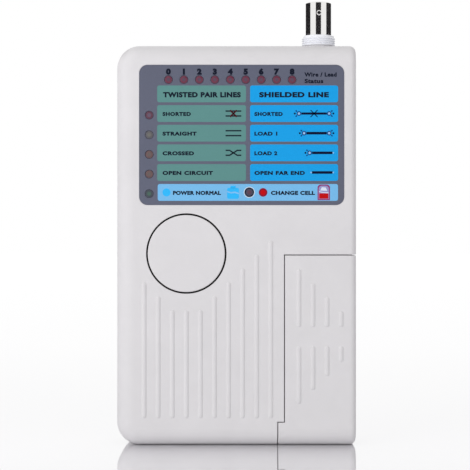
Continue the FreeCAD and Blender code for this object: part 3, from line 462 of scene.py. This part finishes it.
# ---- layout of the printed panel, counted from the overlay's lower left corner ----
PANEL_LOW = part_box("label_overlay")[0]
INK, INK_LIFT = 0.03 * MM, 0.022 * MM
PATCH_Y = PANEL_LOW.y - INK_LIFT
LETTER_Y = PATCH_Y - INK_LIFT
SECOND_Y = LETTER_Y - INK_LIFT
THIRD_Y = SECOND_Y - INK_LIFT
ROW_PITCH, ROW_HEIGHT, ROW_CORNER = 7.36 * MM, 6.3 * MM, 0.8 * MM
TOP_ROW_Z = PANEL_LOW.z + 38.45 * MM
GREEN_X = (PANEL_LOW.x + 6.7 * MM, PANEL_LOW.x + 39.95 * MM)
BLUE_X = (PANEL_LOW.x + 41.5 * MM, PANEL_LOW.x + 74.45 * MM)
BAR_X = (PANEL_LOW.x + 6.9 * MM, PANEL_LOW.x + 74.4 * MM)
BAR_Z = (PANEL_LOW.z + 1.55 * MM, PANEL_LOW.z + 7.85 * MM)
HEADER_CAPS, ROW_CAPS, BAR_CAPS, NUMBER_CAPS = 2.1 * MM, 1.55 * MM, 1.6 * MM, 2.45 * MM
SMALL_CAPS, NUMBER_ABOVE_LAMP = 1.7 * MM, 1.82 * MM
HEADER_DROP, ROW_DROP, BAR_DROP = 0.26 * MM, 0.14 * MM, 0.15 * MM
WINDOW_RADIUS, BEZEL_RADIUS, HALO_RADIUS = 1.66 * MM, 1.82 * MM, 2.1 * MM
BAR_MIDDLE = sum(BAR_Z) / 2
NAVY = srgb(14, 20, 38)
GREEN, BLUE, PALE_BLUE = srgb(93, 140, 137), srgb(24, 157, 226), srgb(118, 184, 230)


def row_z(row, caps):
    """Low and high z of capitals in the middle of a row; row 0 is the header."""
    middle = TOP_ROW_Z - row * ROW_PITCH + ROW_HEIGHT / 2 - (ROW_DROP if row else HEADER_DROP)
    return middle - caps / 2, middle + caps / 2


def from_left(x_mm):
    """An x counted in millimetres from the overlay's left edge."""
    return PANEL_LOW.x + x_mm * MM


def print_patches():
    """Green rows, blue rows, and the pale bar, which leaves a round window for the battery lamp."""
    for name, x, colour in (("green_rows", GREEN_X, GREEN), ("blue_rows", BLUE_X, BLUE)):
        plate = Plate(PATCH_Y, INK)
        for row in range(5):
            low = TOP_ROW_Z - row * ROW_PITCH
            plate.box(x, (low, low + ROW_HEIGHT), ROW_CORNER)
        plate.piece(name, ink(name + "_ink", colour))
    lamp_x, _, lamp_z = lamp_axes("battery_lamp", 1)[0]
    plate = Plate(PATCH_Y, INK)
    for side, edge, turn in ((1, BAR_X[1], 90), (-1, BAR_X[0], 270)):
        corners = rounded(sorted((lamp_x, edge)), BAR_Z, ROW_CORNER)
        outer = [point for point in corners if side * (point[0] - lamp_x) > side * (edge - lamp_x) / 2]
        if side > 0:
            outer = outer[len(outer) // 2:] + outer[:len(outer) // 2]
        window = arc(lamp_x, lamp_z, WINDOW_RADIUS, turn, turn - 180, 20)
        first, last = BAR_Z[::-side]
        plate.shape([*outer, (lamp_x, first), *window, (lamp_x, last)])
    plate.piece("power_bar", ink("pale_blue_ink", PALE_BLUE, mottle=0.10))


def print_letters():
    """Generic words and the lamp numbers."""
    dark = ink("navy_ink", NAVY, mottle=0.02)
    heads = Plate(LETTER_Y, INK)
    for word, start, end in (("TWISTED PAIR LINES", 8.9, 38.0), ("SHIELDED LINE", 44.9, 71.0)):
        heads.letters(word, (from_left(start), from_left(end)), row_z(0, HEADER_CAPS), spacing=1.12)
    heads.piece("panel_headings", dark)

    rows = Plate(LETTER_Y, INK)
    words = (("SHORTED", 10.6, "SHORTED", 10.6), ("STRAIGHT", 12.8, "LOAD 1", 8.6),
             ("CROSSED", 11.8, "LOAD 2", 8.6), ("OPEN CIRCUIT", 18.9, "OPEN FAR END", 18.9))
    for row, (left, left_width, right, right_width) in enumerate(words, 1):
        for word, start, width in ((left, 8.7, left_width), (right, 43.1, right_width)):
            x = (from_left(start), from_left(start + width))
            rows.letters(word, x, row_z(row, ROW_CAPS), spacing=1.14)
    rows.piece("panel_row_words", dark)

    bar = Plate(LETTER_Y, INK)
    z = [BAR_MIDDLE - BAR_DROP + side * BAR_CAPS / 2 for side in (-1, 1)]
    for word, start, end in (("POWER NORMAL", 12.6, 30.6), ("CHANGE CELL", 49.3, 65.8)):
        bar.letters(word, (from_left(start), from_left(end)), z, spacing=1.1)
    bar.piece("power_bar_words", dark)

    numbers = Plate(LETTER_Y, INK)
    for number, (x, _, z) in enumerate(lamp_axes("wire_lamps", WIRE_LAMPS)):
        base = z + NUMBER_ABOVE_LAMP
        numbers.letters(str(number), x, (base, base + NUMBER_CAPS), weight=NUMBER_BOLD, stretch=1.1)
    for word, start, end, low_mm in (("Wire / Lead", 61.8, 73.9, 48.05), ("Status", 61.9, 68.9, 45.6)):
        low = PANEL_LOW.z + low_mm * MM
        numbers.letters(word, (from_left(start), from_left(end)), (low, low + SMALL_CAPS), weight=SMALL_BOLD,
                        spacing=1.1)
    numbers.piece("lamp_numbers", dark)


def symbol_rows():
    """Middle heights of rows 1 to 4."""
    return [TOP_ROW_Z - row * ROW_PITCH + ROW_HEIGHT / 2 for row in range(1, 5)]


def saltire(plate, x, z, reach, width):
    """Two crossed strokes."""
    for lean in (-1, 1):
        plate.stroke([(x - reach, z - lean * reach), (x + reach, z + lean * reach)], width)


def print_pair_symbols():
    """Two wires side by side, with a red cross, straight, or crossed."""
    x0, x1, gap, line = from_left(32.3), from_left(38.2), 0.92 * MM, 0.52 * MM
    level = 1.5 * MM
    short_z, straight_z, crossed_z, _ = symbol_rows()
    wires = Plate(LETTER_Y, INK)
    for side in (-gap, gap):
        for middle in (short_z, straight_z):
            wires.stroke([(x0, middle + side), (x1, middle + side)], line)
        wires.stroke([(x0, crossed_z + side), (x0 + level, crossed_z + side),
                      (x1 - level, crossed_z - side), (x1, crossed_z - side)], line)
    wires.piece("pair_symbols", ink("black_ink", srgb(22, 34, 44), mottle=0.02))
    cross = Plate(SECOND_Y, INK)
    saltire(cross, (x0 + x1) / 2, short_z, 1.25 * MM, 0.56 * MM)
    cross.piece("short_cross", ink("dark_red_ink", srgb(66, 8, 20), mottle=0.04))


def coax_plug(dark, soft, pale, tip, z, way):
    """A small plug symbol: a pin, two barbs and a sleeve ring; way is +1 when its cable runs to +X."""
    dark.disc(tip + 0.42 * way * MM, z, 0.36 * MM)
    for side in (-1, 1):
        outer = (tip + 0.75 * way * MM, z + side * 1.15 * MM)
        inner = (tip + 1.25 * way * MM, z + side * 0.72 * MM)
        soft.stroke([outer, inner], 0.5 * MM)
    ring_x = tip + 2.0 * way * MM
    soft.ring(ring_x, z, 0.46 * MM, 0.86 * MM, 24)
    pale.disc(ring_x, z, 0.5 * MM)


def print_coax_symbols():
    """A cable with plugs on both ends, on one end, or bare, and a cross over the shorted one."""
    right = from_left(73.1)
    plug, bare = 2.9 * MM, 0.75 * MM
    thin, thick = 0.4 * MM, 0.48 * MM
    short_z, both_z, one_z, none_z = symbol_rows()
    symbols = Plate(LETTER_Y, INK)
    outlines = Plate(LETTER_Y, INK)
    tips = Plate(LETTER_Y, INK)
    for left_mm, z, ends in ((57.8, short_z, 2), (59.7, both_z, 2), (61.8, one_z, 1), (63.9, none_z, 0)):
        left, half = from_left(left_mm), thin if z == short_z else thick
        start, end = left + (plug if ends else bare), right - (plug if ends == 2 else bare)
        symbols.box((start, end), (z - half, z + half))
        for x, way, plugged in ((left, 1, ends > 0), (right, -1, ends == 2)):
            if plugged:
                coax_plug(symbols, outlines, tips, x, z, way)
            else:
                tips.disc(x + way * bare * 0.6, z, 0.28 * MM)
    saltire(symbols, (from_left(57.8) + right) / 2, short_z, 1.3 * MM, 0.34 * MM)
    symbols.piece("coax_symbols", ink("deep_navy_ink", srgb(2, 10, 44), mottle=0.02))
    outlines.piece("coax_plug_outlines", ink("mid_blue_ink", srgb(6, 66, 132), mottle=0.04))
    tips.piece("bare_cable_tips", ink("pale_ink", srgb(150, 190, 232), mottle=0.02))


def print_lamp_rings():
    """A dark bezel and a white ring round the battery lamp."""
    x, _, z = lamp_axes("battery_lamp", 1)[0]
    for name, inner, outer, colour in (("battery_lamp_bezel", WINDOW_RADIUS, BEZEL_RADIUS, srgb(30, 40, 66)),
                                       ("battery_lamp_ring", BEZEL_RADIUS, HALO_RADIUS, srgb(206, 220, 236))):
        ring = Plate(LETTER_Y, INK)
        ring.ring(x, z, inner, outer)
        ring.piece(name, ink(name + "_ink", colour, mottle=0.02))


def print_power_normal():
    """A cyan dot, and a cyan battery with a wave across it."""
    cyan = Plate(LETTER_Y, INK)
    cyan.disc(from_left(10.2), BAR_MIDDLE, 1.5 * MM)
    left, width = from_left(32.9), 4.4 * MM
    shoulder = BAR_MIDDLE + 1.7 * MM
    cyan.box((left, left + width), (BAR_MIDDLE - 2.4 * MM, shoulder), 0.6 * MM)
    cyan.box((left + 1.2 * MM, left + width - 1.2 * MM), (shoulder - 0.1 * MM, shoulder + 0.8 * MM), 0.3 * MM)
    cyan.piece("power_normal_symbol", ink("cyan_ink", srgb(50, 182, 246)))
    glint = Plate(SECOND_Y, INK)
    glint.stroke([(left, BAR_MIDDLE + 0.35 * MM), (left + 1.4 * MM, BAR_MIDDLE - 0.15 * MM),
                  (left + 2.9 * MM, BAR_MIDDLE + 0.05 * MM), (left + width, BAR_MIDDLE - 0.45 * MM)],
                 0.55 * MM)
    glint.piece("power_normal_glint", ink("glint_ink", srgb(128, 190, 238)))


def print_change_cell():
    """A red dot, and a magenta battery outline with a red charge and a white glint."""
    bright_red = ink("bright_red_ink", srgb(190, 6, 14))
    for name, y, radius, material in (("red_dot", LETTER_Y, 1.62 * MM, ink("wine_ink", srgb(140, 20, 44))),
                                      ("red_dot_heart", SECOND_Y, 0.95 * MM, bright_red)):
        dot = Plate(y, INK)
        dot.disc(from_left(46.35), BAR_MIDDLE, radius)
        dot.piece(name, material)

    left, right, shoulder = from_left(66.75), from_left(71.4), 1.2 * MM
    foot, cut, top = BAR_MIDDLE - 2.9 * MM, BAR_MIDDLE - 1.5 * MM, BAR_MIDDLE + 2.95 * MM
    for name, y, inset, material in (
            ("change_cell_outline", LETTER_Y, 0.0, ink("magenta_ink", srgb(144, 54, 112))),
            ("change_cell_fill", SECOND_Y, 0.42 * MM, ink("lilac_ink", srgb(150, 146, 196)))):
        dome = rounded((left + inset, right - inset), (cut, top - inset), shoulder)
        plate = Plate(y, INK)
        plate.shape([*dome[:len(dome) // 2], (left + inset, foot + inset), (right - inset, foot + inset)])
        plate.piece(name, material)

    x0, x1 = left + 0.5 * MM, right - 0.5 * MM
    charge = Plate(THIRD_Y, INK)
    charge.box((x0 + 0.1 * MM, x1 - 0.1 * MM), (BAR_MIDDLE - 2.35 * MM, BAR_MIDDLE - 0.35 * MM), 0.25 * MM)
    charge.piece("change_cell_charge", bright_red)
    white = Plate(THIRD_Y, INK)
    white.shape([(x0 + 0.5 * MM, BAR_MIDDLE + 0.7 * MM), (x1 - 0.5 * MM, BAR_MIDDLE + 0.6 * MM),
                 (x1 - 1.1 * MM, BAR_MIDDLE + 1.85 * MM), (x0 + 1.1 * MM, BAR_MIDDLE + 1.95 * MM)])
    white.stroke([(x0, BAR_MIDDLE + 0.32 * MM), (x0 + 1.3 * MM, BAR_MIDDLE + 0.02 * MM),
                  (x1, BAR_MIDDLE - 0.16 * MM)], 0.28 * MM)
    white.piece("change_cell_glint", ink("white_ink", srgb(216, 224, 240)))


# ---- lamps ----
WIRE_LAMPS, FAULT_LAMPS = 9, 2
LENS_RADIUS, LENS_DOME = 1.62 * MM, 0.3 * MM
LAMP_FLANGE, FLANGE_THICK = 1.9 * MM, 1.0 * MM


def lamp_axes(node, count):
    """Tip points (x, y, z) of a node's lamps, spread evenly along its box."""
    low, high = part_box(node)
    first = Vector((low.x + LAMP_FLANGE, low.y, low.z + LAMP_FLANGE))
    last = Vector((high.x - LAMP_FLANGE, low.y, high.z - LAMP_FLANGE))
    return [tuple(first.lerp(last, i / max(count - 1, 1))) for i in range(count)]


def lamp_outline(length):
    """(radius, y) profile of a lamp from its tip at y 0 to its foot."""
    dome = [(LENS_RADIUS * math.sin(t), LENS_DOME * (1 - math.cos(t)))
            for t in (math.radians(90 * i / 10) for i in range(11))]
    foot = length - FLANGE_THICK
    return dome + [(LENS_RADIUS, foot - 0.05 * MM), (LENS_RADIUS + 0.05 * MM, foot),
                   (LAMP_FLANGE - 0.1 * MM, foot), (LAMP_FLANGE, foot + 0.1 * MM), (LAMP_FLANGE, length),
                   (0, length)]


def add_lamps():
    """A lens for every lamp, in place of the plain CAD lamps."""
    # each lens: rim, ring and heart colours, which paint light and shade over the tint
    red = lamp_lens("red_lens", srgb(84, 70, 92), srgb(100, 30, 56), srgb(78, 50, 74))
    deep_red = lamp_lens("deep_red_lens", srgb(84, 70, 92), srgb(86, 42, 62), srgb(90, 72, 94))
    green = lamp_lens("green_lens", srgb(80, 83, 98), srgb(52, 63, 71), srgb(58, 90, 80))
    olive = lamp_lens("olive_lens", srgb(90, 89, 104), srgb(84, 83, 86), srgb(99, 98, 94))
    amber = lamp_lens("amber_lens", srgb(86, 76, 88), srgb(96, 70, 70), srgb(92, 79, 78))
    smoke = lamp_lens("smoke_lens", srgb(16, 26, 50), srgb(58, 56, 80), srgb(80, 46, 66))
    groups = (("wire_lamps", WIRE_LAMPS, red, "red_lens"),
              ("short_lamp", 1, deep_red, "red_lens"),
              ("connected_lamp", 1, olive, "green_lens"),
              ("wiring_fault_lamps", FAULT_LAMPS, amber, "amber_lens"),
              ("power_lamp", 1, green, "green_lens"),
              ("battery_lamp", 1, smoke, "red_lens"))
    for node, count, material, slot in groups:
        low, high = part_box(node)
        for i, tip in enumerate(lamp_axes(node, count)):
            name = node if count == 1 else f"{node}_{i + 1}"
            lens = turned(lamp_outline(high.y - low.y))
            lamp = place_mesh(name + "_lens", lens, material, "main_unit", at=tip, smooth=True)
            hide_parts(node)


# ---- CAD nodes' materials ----
CASE = srgb(217, 215, 217)
# width of the flange ring painted near black as painted shade in the gap round the button
GAP_SHADE_WIDTH = 1.78 * MM


def dress(material, *nodes):
    for node in nodes:
        for slot in NODES[node].material_slots:
            slot.material = material


def dress_nodes():
    """A material on every CAD node."""
    dress(moulded_plastic("case_plastic", CASE), "front_cover", "rear_cover", "battery_door",
          "remote_front_cover", "remote_rear_cover")
    low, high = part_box("test_button")
    axis = ((low.x + high.x) / 2, (low.z + high.z) / 2)
    dress(button_plastic(CASE, axis, (high.x - low.x) / 2 - GAP_SHADE_WIDTH), "test_button")
    dress(printed_film("overlay_film", srgb(81, 85, 104)), "label_overlay")
    dress(plated_metal("bright_nickel", (0.86, 0.85, 0.84, 1), 0.06, on_lathe=True), "coax_barrel")
    dress(glossy_plastic("white_nylon", srgb(244, 245, 250), 0.34), "coax_body")
    dress(glossy_plastic("fluoropolymer", srgb(226, 224, 214), 0.30, 0.2), "coax_insulator")
    gold = plated_metal("gold_plate", (0.86, 0.62, 0.27, 1), 0.16)
    dress(gold, "coax_centre_contact", "main_bus_port_contacts", "remote_bus_port_contacts")
    tin = plated_metal("tin_plate", (0.70, 0.70, 0.69, 1), 0.26, grain_mm=0.8)
    dress(tin, "main_bus_port_shell", "remote_bus_port_shell", "battery_terminals", "sound_switch_body",
          "lamp_leads")
    black = glossy_plastic("jack_black", srgb(24, 24, 26), 0.34)
    for owner in ("main", "remote"):
        dress(gold, f"{owner}_data_jack_contacts", f"{owner}_phone_jack_contacts")
        dress(tin, f"{owner}_data_jack_shield")
        dress(black, f"{owner}_data_jack_housing", f"{owner}_phone_jack_housing")
    dress(glossy_plastic("port_white", srgb(216, 216, 212), 0.30, 0.08), "main_bus_port_tongue",
          "remote_bus_port_tongue")
    dress(glossy_plastic("switch_black", srgb(26, 26, 28), 0.42), "sound_switch_knob", "test_switch_body",
          "test_switch_plunger", "buzzer", "remote_diodes")
    dress(plated_metal("zinc_screw", (0.62, 0.62, 0.60, 1), 0.28, grain_mm=0.3), "case_screws",
          "remote_case_screws", "main_board_screws", "remote_board_screws", "board_crystal")
    dress(board_laminate(), "main_board", "remote_board")
    dress(chip_epoxy(), "board_chips")
    low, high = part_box("board_resistors")
    tan, brown, orange, gilt = srgb(196, 166, 118), srgb(96, 52, 24), srgb(214, 110, 30), srgb(176, 140, 60)
    dress(banded_body("resistor_body", tan, [(0.30, brown), (0.42, orange), (0.54, brown), (0.68, gilt)],
                      low.z, high.z), "board_resistors")
    dress(capacitor_sleeve(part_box("board_capacitors")[1].y - 0.3 * MM), "board_capacitors")
    low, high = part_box("battery_case")
    dress(cell_jacket(low.z, high.z), "battery_case")
    dress(soft_vinyl("snap_black", srgb(28, 28, 30)), "battery_snap", "battery_lead_black")
    dress(soft_vinyl("lead_red", srgb(170, 26, 26)), "battery_lead_red")


# ---- floor, light and camera ----
CAMERA_TO_FRONT = 0.618
CAMERA_HEIGHT = 79.1 * MM
CAMERA_SIDE = -0.46 * MM
LENS_LENGTH, SENSOR = 126.4, 36.0
SKY_AS_LIGHT = 0.58
FLOOR_HALF = 6.0
FLAG_DISTANCE, FLAG_LOW, FLAG_HIGH = 100 * MM, 4.5 * MM, 24 * MM
FLAG_REACH = FLAG_DISTANCE * 1.25


def add_floor():
    """A large pale glossy floor at z 0."""
    mesh = bmesh.new()
    signs = ((-1, -1), (1, -1), (1, 1), (-1, 1))
    mesh.faces.new([mesh.verts.new((x * FLOOR_HALF, y * FLOOR_HALF, 0)) for x, y in signs])
    data = bpy.data.meshes.new("floor")
    mesh.to_mesh(data)
    mesh.free()
    s = Shader("floor_acrylic", Roughness=0.04, IOR=1.55, Metallic=0.3, Coat_Weight=1.0, Coat_Roughness=0.03,
               Coat_IOR=1.6)
    s.set("Base Color", (0.92, 0.91, 0.94, 1))
    data.materials.append(s.material)
    floor = bpy.data.objects.new("floor", data)
    bpy.context.scene.collection.objects.link(floor)


def flag_black():
    """Matt black for the short rays from the barrel, and clear for all longer ones."""
    s = Shader("flag_black", Roughness=1.0)
    s.set("Base Color", (0.02, 0.018, 0.02, 1))
    rays = s.add("ShaderNodeLightPath")
    clear = s.add("ShaderNodeBsdfTransparent")
    mix = s.add("ShaderNodeMixShader")
    s.feed(mix.inputs[0], s.math("GREATER_THAN", rays.outputs["Ray Length"], FLAG_REACH))
    output = next(node for node in s.tree.nodes if node.type == "OUTPUT_MATERIAL")
    s.tree.links.new(output.inputs["Surface"].links[0].from_socket, mix.inputs[1])
    s.tree.links.new(clear.outputs[0], mix.inputs[2])
    s.tree.links.new(mix.outputs[0], output.inputs["Surface"])
    return s.material


def add_flag(name, start, end):
    """A black curved card, seen only in reflections, that gives the barrel a dark band; degrees from -Y."""
    low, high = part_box("coax_barrel")
    middle = (low + high) / 2
    mesh = bmesh.new()
    steps = 12
    columns = []
    for i in range(steps + 1):
        turn = math.radians(start + (end - start) * i / steps)
        x, y = middle.x + FLAG_DISTANCE * math.sin(turn), middle.y - FLAG_DISTANCE * math.cos(turn)
        columns.append([mesh.verts.new((x, y, middle.z + rise)) for rise in (FLAG_LOW, FLAG_HIGH)])
    for (a, b), (c, d) in zip(columns, columns[1:]):
        mesh.faces.new((a, c, d, b))
    data = bpy.data.meshes.new(name)
    mesh.to_mesh(data)
    mesh.free()
    data.materials.append(flag_black())
    flag = bpy.data.objects.new(name, data)
    for ray in ("camera", "diffuse", "transmission", "volume_scatter", "shadow"):
        setattr(flag, "visible_" + ray, False)
    bpy.context.scene.collection.objects.link(flag)


def add_softbox(name, at, size, power, aim=(0, 0, 0.08)):
    """A soft rectangular light that shows neither to the camera nor in reflections."""
    data = bpy.data.lights.new(name, "AREA")
    data.shape, data.size, data.size_y, data.energy = "RECTANGLE", size[0], size[1], power
    light = bpy.data.objects.new(name, data)
    light.location = at
    light.rotation_euler = (Vector(aim) - Vector(at)).to_track_quat("-Z", "Y").to_euler()
    light.visible_camera = light.visible_glossy = False
    bpy.context.scene.collection.objects.link(light)


def add_light():
    """White surroundings that are dimmer as a light than as a background, and soft boxes for shape."""
    world = bpy.data.worlds.new("studio")
    world.use_nodes = True
    tree = world.node_tree
    rays = tree.nodes.new("ShaderNodeLightPath")
    dim = tree.nodes.new("ShaderNodeMapRange")
    dim.inputs["To Min"].default_value = 1.0
    dim.inputs["To Max"].default_value = SKY_AS_LIGHT
    tree.links.new(rays.outputs["Is Diffuse Ray"], dim.inputs["Value"])
    background = tree.nodes["Background"]
    background.inputs["Color"].default_value = (1, 1, 1, 1)
    tree.links.new(dim.outputs[0], background.inputs["Strength"])
    bpy.context.scene.world = world
    add_softbox("key_softbox", (-0.55, -0.62, 0.24), (0.6, 0.4), 3.5)
    add_softbox("right_softbox", (0.85, -1.30, 0.45), (0.8, 0.8), 3.0)
    add_softbox("back_softbox", (0.0, 1.5, 1.3), (2.0, 1.0), 10.0, aim=(0, 0, 0))
    add_flag("camera_flag", -26, 21)
    add_flag("left_flag", -178, -79)
    add_flag("right_flag", 72, 178)
    bpy.context.scene.view_settings.view_transform = "Standard"


def add_camera():
    """A level camera with a long lens, in front of the panel."""
    data = bpy.data.cameras.new("camera")
    data.lens, data.sensor_width, data.clip_start = LENS_LENGTH, SENSOR, 0.01
    camera = bpy.data.objects.new("camera", data)
    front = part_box("label_overlay")[0].y
    camera.location = (CAMERA_SIDE, front - CAMERA_TO_FRONT, CAMERA_HEIGHT)
    camera.rotation_euler = (math.radians(90), 0, 0)
    bpy.context.scene.collection.objects.link(camera)
    bpy.context.scene.camera = camera


add_camera()
add_floor()
add_light()
dress_nodes()
add_lamps()
print_patches()
print_letters()
print_pair_symbols()
print_coax_symbols()
print_lamp_rings()
print_power_normal()
print_change_cell()
